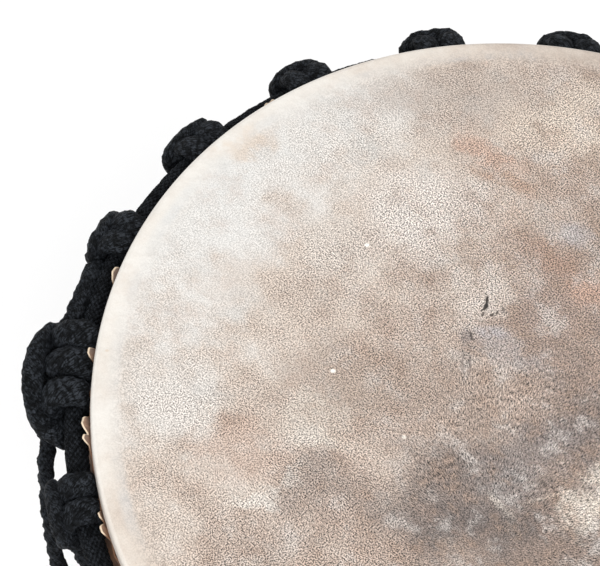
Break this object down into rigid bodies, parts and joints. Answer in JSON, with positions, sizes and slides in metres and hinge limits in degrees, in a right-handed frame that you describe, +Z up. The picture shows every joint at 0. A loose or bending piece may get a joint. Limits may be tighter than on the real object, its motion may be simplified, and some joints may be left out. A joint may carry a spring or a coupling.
{
  "type": "ceremonial goblet drum",
  "caption": "Rope-tuned goblet drum: a hollow carved wooden shell, a goatskin head, braid-dressed hoops and black cord lacing.",
  "frame": {"origin": "centre of the foot's underside, where the drum stands", "axes": "+Z up through the middle of the head; the drum is turned about Z so that a knot of the crown rope lies on +X"},
  "size_m": [0.2776, 0.2776, 0.5],
  "materials": {
    "carved_wood": "oiled, low sheen",
    "goatskin": "dry, matt",
    "hoop_braid": "steel rod in a black braided sleeve",
    "black_cord": "soft braid, slight sheen"
  },
  "bodies": {
    "root": {"shell": "carved_wood", "drumhead": "goatskin", "crown_ring": "hoop_braid", "bottom_ring": "hoop_braid", "crown_cradle_rope": "black_cord", "bottom_cradle_rope": "black_cord", "lacing_rope": "black_cord"}
  },
  "joints": []
}
